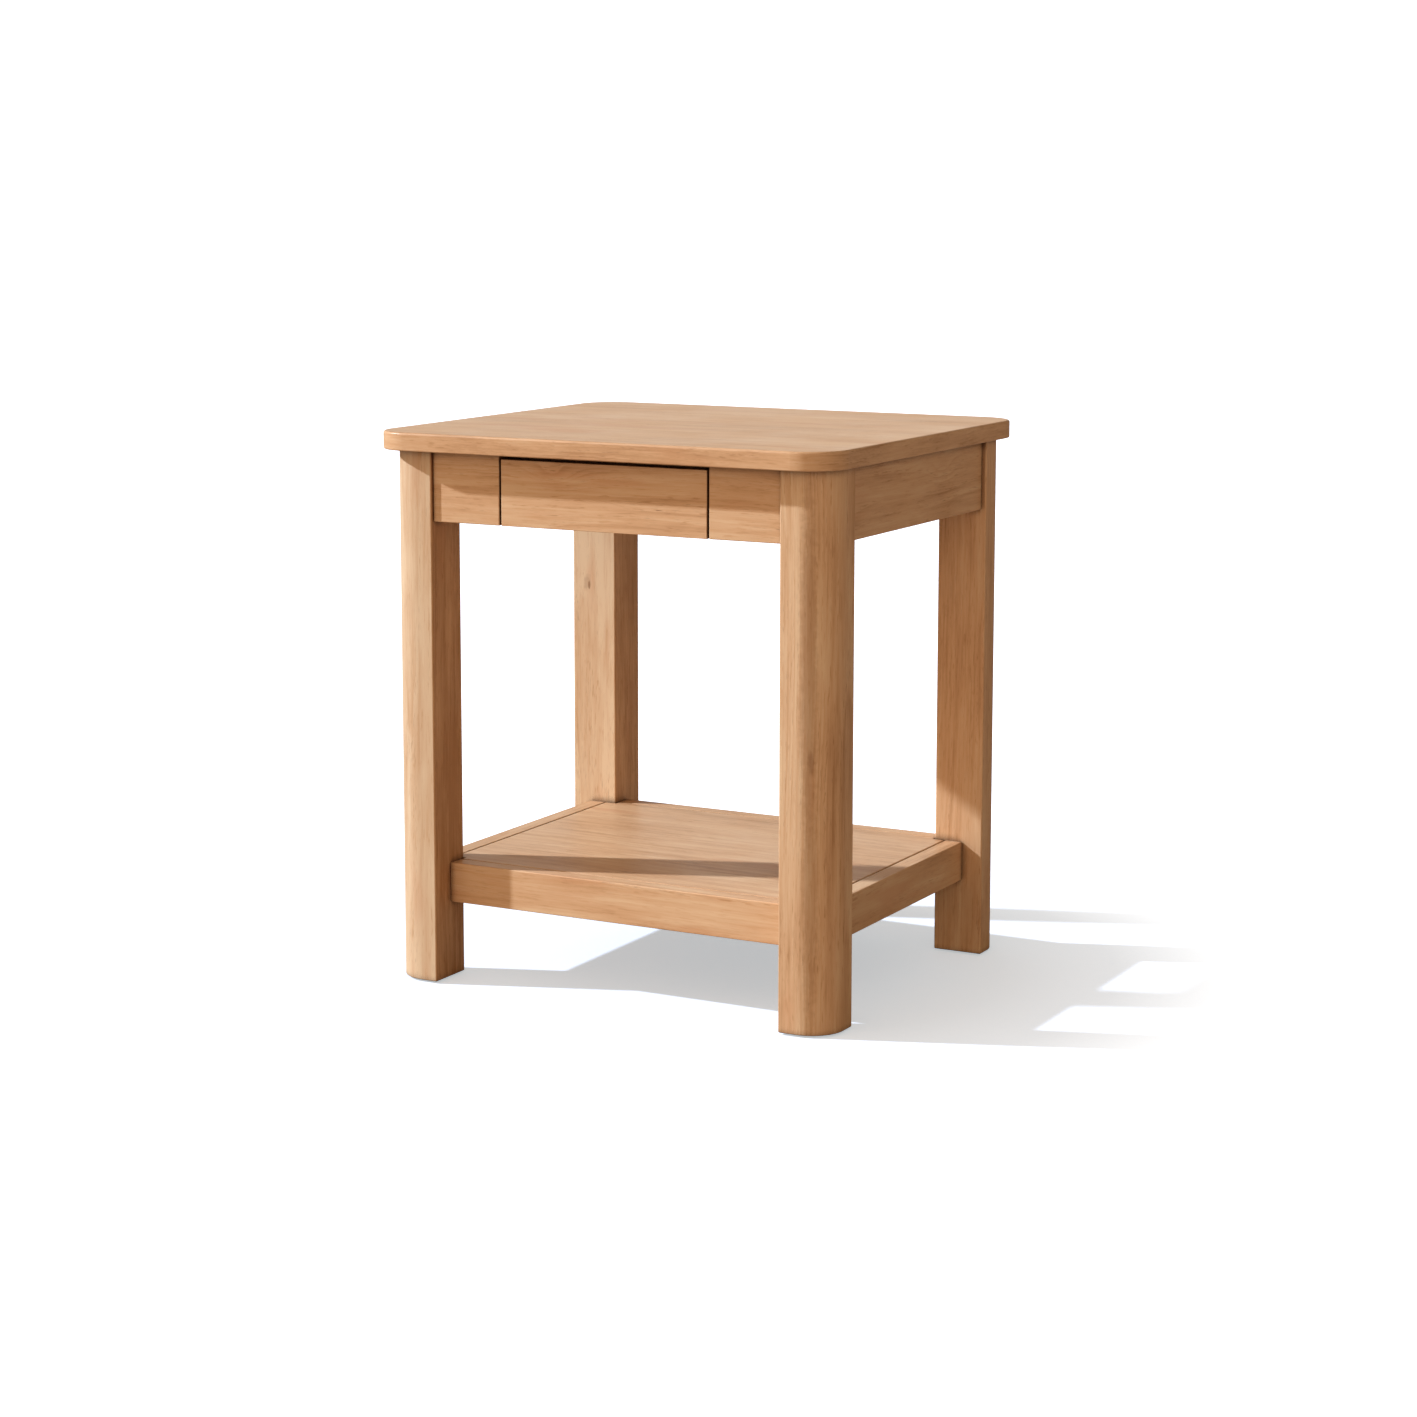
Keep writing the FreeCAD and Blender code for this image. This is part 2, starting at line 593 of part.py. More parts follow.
def drawer_front(holes):
    """Hangs below the box, with its hidden lower edge bevelled for the fingertips."""
    back = -APRON_Y + DRAWER_FRONT_THICK
    top = TOP_Z - DRAWER_TOP_GAP
    points = [(-APRON_Y, APRON_Z), (back - FINGER_BEVEL, APRON_Z), (back, APRON_Z + FINGER_BEVEL)]
    points += [(back, top), (-APRON_Y, top)]
    board = prism([vec(-DRAWER_FRONT_HALF, y, z) for y, z in points], X * (2 * DRAWER_FRONT_HALF))
    return cut(eased(board, DRAWER_FRONT_EASE), holes)


def groove_span():
    half = BOX_HALF - BOX_THICK + GROOVE_DEPTH
    return (-half, half), (BOX_Y + BOX_THICK - GROOVE_DEPTH, BOX_END_Y - BOX_THICK + GROOVE_DEPTH)


def drawer_side(side, holes):
    xs = (side * BOX_HALF, side * (BOX_HALF - BOX_THICK))
    board = eased(box(xs, (BOX_Y, BOX_END_Y), (BOX_Z, BOX_TOP_Z)), EASE, Y)
    return cut(board, [groove(*groove_span()), *holes])


def drawer_end(start, holes):
    """The box's inner front or its back, between the sides."""
    half = BOX_HALF - BOX_THICK
    board = eased(box((-half, half), (start, start + BOX_THICK), (BOX_Z, BOX_TOP_Z)), EASE, X)
    return cut(board, [groove(*groove_span()), *holes])


def drawer_bottom():
    (x0, x1), (y0, y1) = groove_span()
    low = BOX_Z + BOTTOM_RISE
    play = GROOVE_PLAY
    return box((x0 + play, x1 - play), (y0 + play, y1 - play), (low, low + BOTTOM_THICK))


def drawer_bumpers():
    """Soft dots on the drawer front's back face that meet the tie rail as the drawer closes."""
    z = TOP_Z - DRAWER_TOP_GAP - BUMPER_DROP
    x = BOX_HALF - BUMPER_INSET
    back = -APRON_Y + DRAWER_FRONT_THICK
    return [rod(BUMPER_R, vec(side * x, back, z), Y, BUMPER_THICK) for side in SIDES.values()]


# ---------------------------------------------------------------- the assembly
def build_frame():
    apron_dowels, apron_holes = dowels_and_holes(DOWEL_R, DOWEL_HALF, apron_dowel_places())
    shelf_dowels, shelf_holes = dowels_and_holes(DOWEL_R, DOWEL_HALF, shelf_dowel_places())
    guide_dowels, guide_holes = dowels_and_holes(THIN_DOWEL_R, THIN_DOWEL_HALF, guide_dowel_places())
    bracket_spots = [spot for corner in CORNERS.values() for spot in bracket_screw_places(*corner)]
    bracket_screws, bracket_holes = screws_and_holes(WOOD_SCREW, bracket_spots)
    angle_screws, angle_holes = screws_and_holes(WOOD_SCREW, list(angle_screw_places()))
    tie_screws, tie_holes = screws_and_holes(LONG_SCREW, list(tie_screw_places()))
    cleat_screws, cleat_holes = screws_and_holes(LONG_SCREW, list(cleat_screw_places()))
    outer_spots = list(slide_screw_places(GUIDE_HALF - SLIDE_SCREW[1], 1, OUTER_SCREW_SHARES))
    slide_screws, slide_holes = screws_and_holes(SLIDE_SCREW, outer_spots)

    bolts = {name: bolt_set(*corner) for name, corner in CORNERS.items()}
    glides = {name: foot_glide(*corner) for name, corner in CORNERS.items()}
    for name, (sx, sy) in CORNERS.items():
        write(f"leg_{name}", leg(sx, sy, [*apron_holes, *shelf_holes, bolts[name][3], glides[name][1]]))
        write(f"foot_glide_{name}", glides[name][0])
        write(f"corner_bracket_{name}", corner_bracket(sx, sy, bracket_holes))
    for index, node in enumerate(("corner_bolts", "corner_washers", "corner_nuts")):
        write(node, *[parts[index] for parts in bolts.values()])

    write("table_top", table_top([*angle_holes, *tie_holes]))
    apron_tools = [*apron_holes, *guide_holes, *bracket_holes, *angle_holes]
    for name, side in SIDES.items():
        write(f"front_apron_{name}", front_apron(side, apron_tools))
        write(f"side_apron_{name}", side_apron(side, apron_tools))
        write(f"drawer_guide_{name}", drawer_guide(side, [*guide_holes, *tie_holes, *slide_holes]))
        write(f"slide_outer_{name}", slide_outer(side, slide_holes))
        write(f"slide_cage_{name}", slide_cage(side))
        write(f"slide_balls_{name}", *slide_balls(side))
        write(f"shelf_rail_{name}", shelf_rail_y(side, [*shelf_holes, *cleat_holes]))
        write(f"shelf_cleat_{name}", shelf_cleat(side, 0, cleat_holes))
    write("rear_apron", rear_apron(apron_tools))
    write("tie_rail", tie_rail(tie_holes))
    for name, sy in (("front", -1), ("rear", 1)):
        write(f"shelf_rail_{name}", shelf_rail_x(sy, [*shelf_holes, *cleat_holes]))
        write(f"shelf_cleat_{name}", shelf_cleat(0, sy, cleat_holes))
    write("shelf_panel", shelf_panel(cleat_holes))
    write("top_angles", *[angle_bracket(corner, way, angle_holes) for corner, way in angle_places()])

    write("frame_dowels", *apron_dowels, *shelf_dowels)
    write("guide_dowels", *guide_dowels)
    write("bracket_screws", *bracket_screws, *angle_screws)
    write("wood_screws", *tie_screws, *cleat_screws)
    write("slide_outer_screws", *slide_screws)


def build_drawer():
    box_dowels, box_holes = dowels_and_holes(THIN_DOWEL_R, THIN_DOWEL_HALF, box_dowel_places())
    front_screws, front_holes = screws_and_holes(LONG_SCREW, list(front_screw_places()))
    inner_spots = list(slide_screw_places(BOX_HALF + SLIDE_SCREW[1], -1, INNER_SCREW_SHARES))
    slide_screws, slide_holes = screws_and_holes(SLIDE_SCREW, inner_spots)
    write("drawer_front", drawer_front(front_holes))
    write("drawer_inner_front", drawer_end(BOX_Y, [*box_holes, *front_holes]))
    write("drawer_back", drawer_end(BOX_END_Y - BOX_THICK, box_holes))
    for name, side in SIDES.items():
        write(f"drawer_side_{name}", drawer_side(side, [*box_holes, *slide_holes]))
        write(f"slide_inner_{name}", slide_inner(side, slide_holes))
    write("drawer_bottom", drawer_bottom())
    write("drawer_dowels", *box_dowels)
    write("drawer_front_screws", *front_screws)
    write("slide_inner_screws", *slide_screws)
    write("drawer_bumpers", *drawer_bumpers())


os.makedirs("parts", exist_ok=True)
build_frame()
build_drawer()
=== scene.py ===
"""Looks for the side table with drawer: oak boards, steel fittings, floor, light and camera.

Metres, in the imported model's frame: +Z up, the front faces -Y. The CAD nodes keep their shapes, and
get procedural materials whose patterns run in real sizes along each board's own grain.
"""
import math

import bpy
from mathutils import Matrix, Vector

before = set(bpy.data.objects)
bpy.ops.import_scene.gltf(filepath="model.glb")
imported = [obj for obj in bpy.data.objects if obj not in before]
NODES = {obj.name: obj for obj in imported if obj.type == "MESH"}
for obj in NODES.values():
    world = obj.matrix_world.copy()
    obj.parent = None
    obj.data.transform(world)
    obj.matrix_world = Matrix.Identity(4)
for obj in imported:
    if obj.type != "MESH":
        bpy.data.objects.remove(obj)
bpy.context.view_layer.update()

SCENE = bpy.context.scene


# ---------------------------------------------------------------- node-tree helpers
def linear(red, green, blue, alpha=1.0):
    """An sRGB colour from 0 to 255 as the linear colour that shaders use."""
    def channel(value):
        value /= 255
        return value / 12.92 if value <= 0.04045 else ((value + 0.055) / 1.055) ** 2.4
    return (channel(red), channel(green), channel(blue), alpha)


def grey(value):
    return (value, value, value, 1.0)


class Tree:
    """Short calls that add a node to a tree, link or set its inputs, and return its output."""

    def __init__(self, tree):
        self.nodes, self.links = tree.nodes, tree.links

    def add(self, kind, inputs=(), output=0, **settings):
        node = self.nodes.new(kind)
        for name, value in settings.items():
            setattr(node, name, value)
        for key, value in dict(inputs).items():
            socket = node.inputs[key]
            if isinstance(value, bpy.types.NodeSocket):
                self.links.new(value, socket)
            else:
                socket.default_value = value
        return node.outputs[output]

    def math(self, operation, a, b=0.0, c=0.0, clamp=False):
        return self.add("ShaderNodeMath", {0: a, 1: b, 2: c}, operation=operation, use_clamp=clamp)

    def vector(self, operation, a, b=(0, 0, 0), output=0):
        inputs = {0: a, 3: b} if operation == "SCALE" else {0: a, 1: b}
        return self.add("ShaderNodeVectorMath", inputs, output, operation=operation)

    def split(self, vector):
        node = self.nodes.new("ShaderNodeSeparateXYZ")
        self.links.new(vector, node.inputs[0])
        return node.outputs

    def join(self, x, y, z):
        return self.add("ShaderNodeCombineXYZ", {0: x, 1: y, 2: z})

    def noise(self, vector, detail=2.0, rough=0.5, distort=0.0, output="Fac"):
        inputs = {"Vector": vector, "Scale": 1.0, "Detail": detail, "Roughness": rough,
                  "Distortion": distort}
        return self.add("ShaderNodeTexNoise", inputs, output)

    def spread(self, value, low, high, out_low=0.0, out_high=1.0, smooth=False):
        """Maps low..high to out_low..out_high, and clamps."""
        inputs = {"Value": value, "From Min": low, "From Max": high,
                  "To Min": out_low, "To Max": out_high}
        kind = "SMOOTHSTEP" if smooth else "LINEAR"
        return self.add("ShaderNodeMapRange", inputs, interpolation_type=kind)

    def gaussian(self, place, centre, reach):
        """1 at centre, and a smooth fall to 0 over reach, which is (x, y, z) in metres."""
        away = self.vector("DIVIDE", self.vector("SUBTRACT", place, centre), reach)
        square = self.vector("DOT_PRODUCT", away, away, "Value")
        return self.math("EXPONENT", self.math("MULTIPLY", square, -1.0))

    def mix(self, factor, a, b, blend="MIX"):
        inputs = {0: factor, 6: a, 7: b}
        return self.add("ShaderNodeMix", inputs, 2, data_type="RGBA", blend_type=blend)

    def ramp(self, value, stops):
        node = self.nodes.new("ShaderNodeValToRGB")
        self.links.new(value, node.inputs[0])
        elements = node.color_ramp.elements
        while len(elements) < len(stops):
            elements.new(0.5)
        for element, (place, colour) in zip(elements, stops):
            element.position = place
            element.color = colour
        return node.outputs[0]


def new_material(name, **shader):
    """A material with its tree, its Principled shader, and constants set on the shader's sockets."""
    made = bpy.data.materials.new(name)
    made.use_nodes = True
    bsdf = made.node_tree.nodes["Principled BSDF"]
    for key, value in shader.items():
        bsdf.inputs[key.replace("_", " ")].default_value = value
    return made, Tree(made.node_tree), bsdf


def paint(material, *names):
    for name in names:
        mesh = NODES[name].data
        mesh.materials.clear()
        mesh.materials.append(material)


# ---------------------------------------------------------------- oak
# noise scales per metre: (along the grain, across it, across it)
WANDER, RIPPLE = (1.6, 7, 7), (9, 45, 45)
CLEAR, CLOUD, STREAK = (8, 42, 42), (5.5, 21, 21), (6.5, 120, 120)
FIBRE, STROKE, PORE_DASH, RED_PATCH = (15, 640, 640), (58, 520, 520), (95, 1900, 1900), (5.5, 30, 30)
RINGS_PER_METRE, RING_DRIFT = 225.0, 6.0
WANDER_REACH, RIPPLE_REACH = 0.03, 0.0028
# how far each layer moves the tone from its middle
RING_DEPTH, FIBRE_DEPTH, STREAK_DEPTH, CLOUD_DEPTH, STROKE_DEPTH = 0.42, 0.09, 0.22, 0.20, 0.36
TONE_MIDDLE = 0.32


def grain_group():
    """Solid oak in three dimensions. The vector is (along the grain, across, across) in metres.

    Growth rings are rough cylinders about a pith line beside the board, so that a flat-sawn face
    shows cathedrals and its edges show straight lines. Pores are short dark dashes that gather
    in each ring's early wood.
    """
    tree = bpy.data.node_groups.new("oak_grain", "ShaderNodeTree")
    ports = tree.interface
    for name, kind in (("Vector", "Vector"), ("Pith Y", "Float"), ("Pith Z", "Float"), ("Knot", "Float")):
        ports.new_socket(name, in_out="INPUT", socket_type="NodeSocket" + kind)
    for name in ("Tone", "Pores", "Red", "Height"):
        ports.new_socket(name, in_out="OUTPUT", socket_type="NodeSocketFloat")
    t = Tree(tree)
    given = tree.nodes.new("NodeGroupInput")
    vector, pith_y, pith_z, knot = given.outputs[:4]

    wander = t.noise(t.vector("MULTIPLY", vector, WANDER), 2.0, output="Color")
    wander = t.vector("SUBTRACT", wander, (0.5, 0.5, 0.5))
    ripple = t.noise(t.vector("MULTIPLY", vector, RIPPLE), 2.0, output="Color")
    ripple = t.vector("SUBTRACT", ripple, (0.5, 0.5, 0.5))
    bent = t.vector("ADD", vector, t.vector("MULTIPLY", wander, (0, WANDER_REACH, WANDER_REACH)))
    bent = t.vector("ADD", bent, t.vector("MULTIPLY", ripple, (0, RIPPLE_REACH, RIPPLE_REACH)))
    along, across, deep = t.split(bent)
    across = t.math("SUBTRACT", across, pith_y)
    deep = t.math("SUBTRACT", deep, pith_z)
    radius = t.vector("LENGTH", t.join(0.0, across, deep), output="Value")
    radius = t.math("ADD", radius, knot)

    # rings a few millimetres apart, each rising slowly in tone and dropping sharply at its end
    uneven = t.noise(t.vector("SCALE", t.join(radius, 0.0, 0.0), 30.0), 2.0, 0.6)
    turns = t.math("ADD", t.math("MULTIPLY", radius, RINGS_PER_METRE),
                   t.math("MULTIPLY", uneven, RING_DRIFT))
    phase = t.math("FRACT", turns)
    rise = t.math("POWER", phase, 2.2)
    drop = t.spread(phase, 0.86, 1.0, 1.0, 0.0, smooth=True)
    ring = t.math("MULTIPLY", rise, drop)
    early = t.spread(phase, 0.02, 0.38, 1.0, 0.0, smooth=True)
    clear = t.spread(t.noise(t.vector("MULTIPLY", vector, CLEAR), 3.0), 0.38, 0.66, 0.05, 1.0)

    fibre = t.noise(t.vector("MULTIPLY", vector, FIBRE), 3.0, 0.6)
    streak = t.noise(t.vector("MULTIPLY", bent, STREAK), 4.0, 0.62)
    cloud = t.noise(t.vector("MULTIPLY", bent, CLOUD), 3.0, 0.55)
    stroke = t.noise(t.vector("MULTIPLY", bent, STROKE), 2.0, 0.55)
    stroke = t.spread(stroke, 0.54, 0.70, smooth=True)

    tone = t.math("MULTIPLY", t.math("MULTIPLY", ring, clear), RING_DEPTH)
    for layer, depth in ((fibre, FIBRE_DEPTH), (streak, STREAK_DEPTH), (cloud, CLOUD_DEPTH)):
        tone = t.math("ADD", tone, t.spread(layer, 0.3, 0.7, -depth, depth))
    gathered = t.math("MULTIPLY_ADD", early, 0.6, 0.4)
    tone = t.math("MULTIPLY_ADD", t.math("MULTIPLY", stroke, gathered), STROKE_DEPTH, tone)
    tone = t.math("ADD", tone, TONE_MIDDLE, clamp=True)

    dash = t.noise(t.vector("MULTIPLY", bent, PORE_DASH), 1.0, 0.4)
    dash = t.spread(dash, 0.60, 0.70)
    pores = t.math("MULTIPLY", dash, t.math("MULTIPLY", gathered, clear), clamp=True)

    red = t.spread(t.noise(t.vector("MULTIPLY", bent, RED_PATCH), 2.0), 0.58, 0.74, smooth=True)

    height = t.math("MULTIPLY_ADD", pores, -1.0, t.math("MULTIPLY", fibre, 0.16))
    height = t.math("SUBTRACT", height, t.math("MULTIPLY", early, 0.05))
    out = tree.nodes.new("NodeGroupOutput")
    for socket, value in zip(out.inputs, (tone, pores, red, height)):
        tree.links.new(value, socket)
    return tree


GRAIN = grain_group()
ORDER = {"X": (0, 1, 2), "Y": (1, 0, 2), "Z": (2, 0, 1)}
PALE, TAN, BROWN = linear(226, 194, 159), linear(211, 170, 132), linear(170, 124, 84)
# the last colour below darkens the spots: flecks, knot cores, and streaks of painted shade
PORE, RUSSET, KNOT_CORE_AND_SHADE = linear(128, 88, 58), linear(203, 148, 108), linear(116, 70, 38)
# the first colour below is painted shade for creases, gaps and recesses; the second is for rubbed arrises
PAINTED_CREVICE_SHADE, RUBBED = linear(74, 40, 18), linear(233, 197, 158)
PAINTED_SHADE_REACH, ARRIS_REACH = 0.012, 0.0016
FLECK_RAGGED, FLECK_RAGGED_SCALE = 0.9, 160.0
OAK_SPECULAR = 0.42


def reach_of(axis, along, across):
    """The reach (x, y, z) of a mark on a board whose grain runs on axis."""
    reach = [across, across, across]
    reach[ORDER[axis][0]] = along
    return tuple(reach)


def grain(t, place, axis, shift, pith, knots=()):
    """The grain group's outputs for one board. Each knot is (x, y, z, along, across, strength), and
    turns the rings round it."""
    xyz = t.split(place)
    turned = t.join(*(xyz[i] for i in ORDER[axis]))
    swell = 0.0
    for x, y, z, along, across, strength in knots:
        near = t.gaussian(place, (x, y, z), reach_of(axis, along, across))
        swell = t.math("MULTIPLY_ADD", near, strength, swell)
    node = t.nodes.new("ShaderNodeGroup")
    node.node_tree = GRAIN
    t.links.new(t.vector("ADD", turned, shift), node.inputs["Vector"])
    node.inputs["Pith Y"].default_value = pith[0] + shift[1]
    node.inputs["Pith Z"].default_value = pith[1] + shift[2]
    if knots:
        t.links.new(swell, node.inputs["Knot"])
    return node.outputs


def oak_colour(t, tone, pores, red, lighter=0.0):
    shade = t.math("SUBTRACT", tone, lighter, clamp=True)
    colour = t.ramp(shade, [(0.0, PALE), (0.42, TAN), (1.0, BROWN)])
    colour = t.mix(t.math("MULTIPLY", red, 0.45), colour, RUSSET)
    return t.mix(t.math("MULTIPLY", pores, 0.62), colour, PORE)


def worn_edge(t, size):
    """1 on the arrises, where handling has rubbed the finish, and 0 elsewhere."""
    bevel = t.add("ShaderNodeBevel", {"Radius": size}, samples=4)
    true = t.nodes.new("ShaderNodeNewGeometry").outputs["Normal"]
    same = t.vector("DOT_PRODUCT", bevel, true, "Value")
    return t.spread(same, 0.995, 0.90, 0.0, 1.0)


def finish_oak(t, bsdf, colour, pores, height, rough, place):
    """Satin varnish: wandering gloss, open pores, painted shade darkening the crevices, and slightly
    rubbed arrises.
    """
    crevice_shade = t.add("ShaderNodeAmbientOcclusion", {"Distance": PAINTED_SHADE_REACH}, "AO", samples=6)
    # painted shade: the colour darkens to a deep brown wherever nearby surfaces close in, in creases,
    # gaps and recesses
    colour = t.mix(t.spread(crevice_shade, 0.40, 0.82, 0.9, 0.0), colour, PAINTED_CREVICE_SHADE)
    edge = worn_edge(t, ARRIS_REACH)
    smear = t.noise(t.vector("MULTIPLY", place, (14, 14, 14)), 3.0, 0.6)
    gloss = t.spread(smear, 0.3, 0.7, rough - 0.06, rough + 0.06)
    gloss = t.math("ADD", gloss, t.math("MULTIPLY", pores, 0.2))
    gloss = t.math("SUBTRACT", gloss, t.math("MULTIPLY", edge, 0.06))
    colour = t.mix(t.math("MULTIPLY", edge, 0.22), colour, RUBBED)
    bump = t.add("ShaderNodeBump", {"Strength": 0.55, "Distance": 0.00012, "Height": height})
    t.links.new(colour, bsdf.inputs["Base Color"])
    t.links.new(gloss, bsdf.inputs["Roughness"])
    t.links.new(bump, bsdf.inputs["Normal"])


def oak_board(name, axis, number, pith=(0.07, -0.05), knots=(), spots=(), rough=0.46, lighter=0.0,
              right_side_shade=0.0, lit_side_tint=None):
    """One board's oak. number picks a different part of the tree for each board. right_side_shade is
    painted shade: how much deeper its +X side is, the side turned from the light. lit_side_tint is
    painted light: a cooler tint on its other sides, most of which face the light. Each spot is (x, y, z,
    along, across, strength): a fleck, a knot's core, or a streak of painted shade."""
    material, t, bsdf = new_material("oak_" + name, Specular_IOR_Level=OAK_SPECULAR)
    place = t.nodes.new("ShaderNodeTexCoord").outputs["Object"]
    shift = (0.37 * number + 0.11, 0.53 * (number % 7), 0.29 * (number % 5))
    tone, pores, red, height = grain(t, place, axis, shift, pith, knots)
    right = t.split(t.nodes.new("ShaderNodeNewGeometry").outputs["Normal"])[0]
    # painted shade: the tone deepens on faces that turn towards +X, away from the light
    tone = t.math("MULTIPLY_ADD", t.spread(right, 0.2, 0.9), right_side_shade, tone)
    colour = oak_colour(t, tone, pores, red, lighter)
    # painted light: the sides that face away from +X, towards the light, are tinted cooler
    if lit_side_tint:
        colour = t.mix(t.spread(right, 0.2, 0.8, 1.0, 0.0), colour, lit_side_tint + (1.0,), "MULTIPLY")
    # each spot darkens a patch: a fleck, a knot's core, or a streak of painted shade
    for x, y, z, along, across, strength in spots:
        away = t.vector("SUBTRACT", place, (x, y, z))
        away = t.vector("DIVIDE", away, reach_of(axis, along, across))
        ragged = t.noise(t.vector("SCALE", place, FLECK_RAGGED_SCALE), 2.0, output="Color")
        ragged = t.vector("SCALE", t.vector("SUBTRACT", ragged, (0.5, 0.5, 0.5)), FLECK_RAGGED)
        away = t.vector("LENGTH", t.vector("ADD", away, ragged), output="Value")
        colour = t.mix(t.spread(away, 0.45, 1.1, strength, 0.0, smooth=True), colour, KNOT_CORE_AND_SHADE)
    finish_oak(t, bsdf, colour, pores, height, rough, place)
    return material


def oak_top():
    """The top: its face is one field of grain along X, and its edge is lipped, with grain that runs
    round the rim in level lines."""
    material, t, bsdf = new_material("oak_table_top", Specular_IOR_Level=OAK_SPECULAR)
    place = t.nodes.new("ShaderNodeTexCoord").outputs["Object"]
    face = grain(t, place, "X", (0.4, 0.2, 0.3), (0.02, 0.45),
                 [(-0.06, 0.07, 0.55, 0.10, 0.03, 0.010), (0.13, -0.10, 0.55, 0.12, 0.025, -0.008)])
    x, y, z = t.split(place)
    level = t.join(t.math("ADD", x, y), t.math("MULTIPLY", t.math("SUBTRACT", x, y), 0.08), z)
    rim = t.nodes.new("ShaderNodeGroup")
    rim.node_tree = GRAIN
    t.links.new(t.vector("ADD", level, (1.7, 0.3, 0.2)), rim.inputs["Vector"])
    near = t.gaussian(place, (-0.13, -0.225, 0.549), (0.075, 0.05, 0.009))
    t.links.new(t.math("MULTIPLY", near, 0.009), rim.inputs["Knot"])
    rim.inputs["Pith Y"].default_value = 0.3
    rim.inputs["Pith Z"].default_value = 0.69
    normal = t.split(t.nodes.new("ShaderNodeNewGeometry").outputs["Normal"])[2]
    side = t.spread(t.math("ABSOLUTE", normal), 0.80, 0.62, smooth=True)
    mixed = []
    for index in range(4):
        part = t.math("SUBTRACT", rim.outputs[index], face[index])
        mixed.append(t.math("MULTIPLY_ADD", part, side, face[index]))
    tone, pores, red, height = mixed
    contrast, base = t.spread(side, 0.0, 1.0, 0.62, 0.95), t.spread(side, 0.0, 1.0, 0.21, 0.16)
    tone = t.math("MULTIPLY_ADD", tone, contrast, base)
    finish_oak(t, bsdf, oak_colour(t, tone, pores, red), pores, height, 0.40, place)
    return material


# ---------------------------------------------------------------- other materials
def bare_wood(name, pale, dark, axis, number, lines=900.0):
    """Unvarnished timber with a fine even grain, for the plywood bottom and the dowels."""
    material, t, bsdf = new_material(name, Specular_IOR_Level=0.3)
    place = t.nodes.new("ShaderNodeTexCoord").outputs["Object"]
    xyz = t.split(place)
    turned = t.vector("ADD", t.join(*(xyz[i] for i in ORDER[axis])), (0.7 * number, 0.4, 0.2))
    fine = t.noise(t.vector("MULTIPLY", turned, (14, lines, lines)), 3.0, 0.6)
    broad = t.noise(t.vector("MULTIPLY", turned, (2, 30, 18)), 3.0, 0.55, 0.6)
    waves = t.math("FRACT", t.math("MULTIPLY", broad, 9.0))
    tone = t.math("MULTIPLY_ADD", waves, 0.3, t.math("MULTIPLY", fine, 0.7))
    colour = t.ramp(tone, [(0.15, pale), (0.85, dark)])
    bump = t.add("ShaderNodeBump", {"Strength": 0.4, "Distance": 0.00008, "Height": fine})
    t.links.new(colour, bsdf.inputs["Base Color"])
    t.links.new(t.spread(fine, 0.3, 0.7, 0.55, 0.72), bsdf.inputs["Roughness"])
    t.links.new(bump, bsdf.inputs["Normal"])
    return material


def steel(name, colour, dark, rough, stretch):
    """Plated or rolled steel: fine drawn lines, spangle clouds, and small scuffs."""
    material, t, bsdf = new_material(name, Metallic=1.0)
    place = t.nodes.new("ShaderNodeTexCoord").outputs["Object"]
    lines = t.noise(t.vector("MULTIPLY", place, stretch), 3.0, 0.6)
    cloud = t.noise(t.vector("SCALE", place, 55.0), 3.0, 0.6)
    scuff = t.noise(t.vector("MULTIPLY", place, (420, 160, 700)), 2.0, 0.7)
    scuff = t.spread(scuff, 0.62, 0.74)
    tone = t.math("MULTIPLY_ADD", lines, 0.5, t.math("MULTIPLY", cloud, 0.5))
    shade = t.ramp(tone, [(0.25, dark), (0.75, colour)])
    shade = t.mix(t.math("MULTIPLY", scuff, 0.35), shade, dark)
    gloss = t.spread(tone, 0.3, 0.7, rough - 0.08, rough + 0.10)
    gloss = t.math("ADD", gloss, t.math("MULTIPLY", scuff, 0.15))
    bump = t.add("ShaderNodeBump", {"Strength": 0.25, "Distance": 0.00003, "Height": lines})
    t.links.new(shade, bsdf.inputs["Base Color"])
    t.links.new(gloss, bsdf.inputs["Roughness"])
    t.links.new(bump, bsdf.inputs["Normal"])
    return material


def moulded(name, colour, worn, rough, grit):
    """Moulded nylon or rubber: a faint spark-eroded grain, and rubbed patches."""
    material, t, bsdf = new_material(name, Specular_IOR_Level=0.4)
    place = t.nodes.new("ShaderNodeTexCoord").outputs["Object"]
    skin = t.noise(t.vector("SCALE", place, grit), 2.0, 0.6)
    rubbed = t.spread(t.noise(t.vector("SCALE", place, 210.0), 3.0, 0.65), 0.52, 0.7)
    t.links.new(t.mix(t.math("MULTIPLY", rubbed, 0.5), colour, worn), bsdf.inputs["Base Color"])
    t.links.new(t.spread(skin, 0.3, 0.7, rough - 0.08, rough + 0.08), bsdf.inputs["Roughness"])
    bump = t.add("ShaderNodeBump", {"Strength": 0.4, "Distance": 0.00006, "Height": skin})
    t.links.new(bump, bsdf.inputs["Normal"])
    return material


# ---------------------------------------------------------------- materials on the CAD nodes
def boards(axis, **facts):
    """Paints each named node as its own oak board, whose grain runs on axis."""
    for name, fact in facts.items():
        paint(oak_board(name, axis, **fact), name)


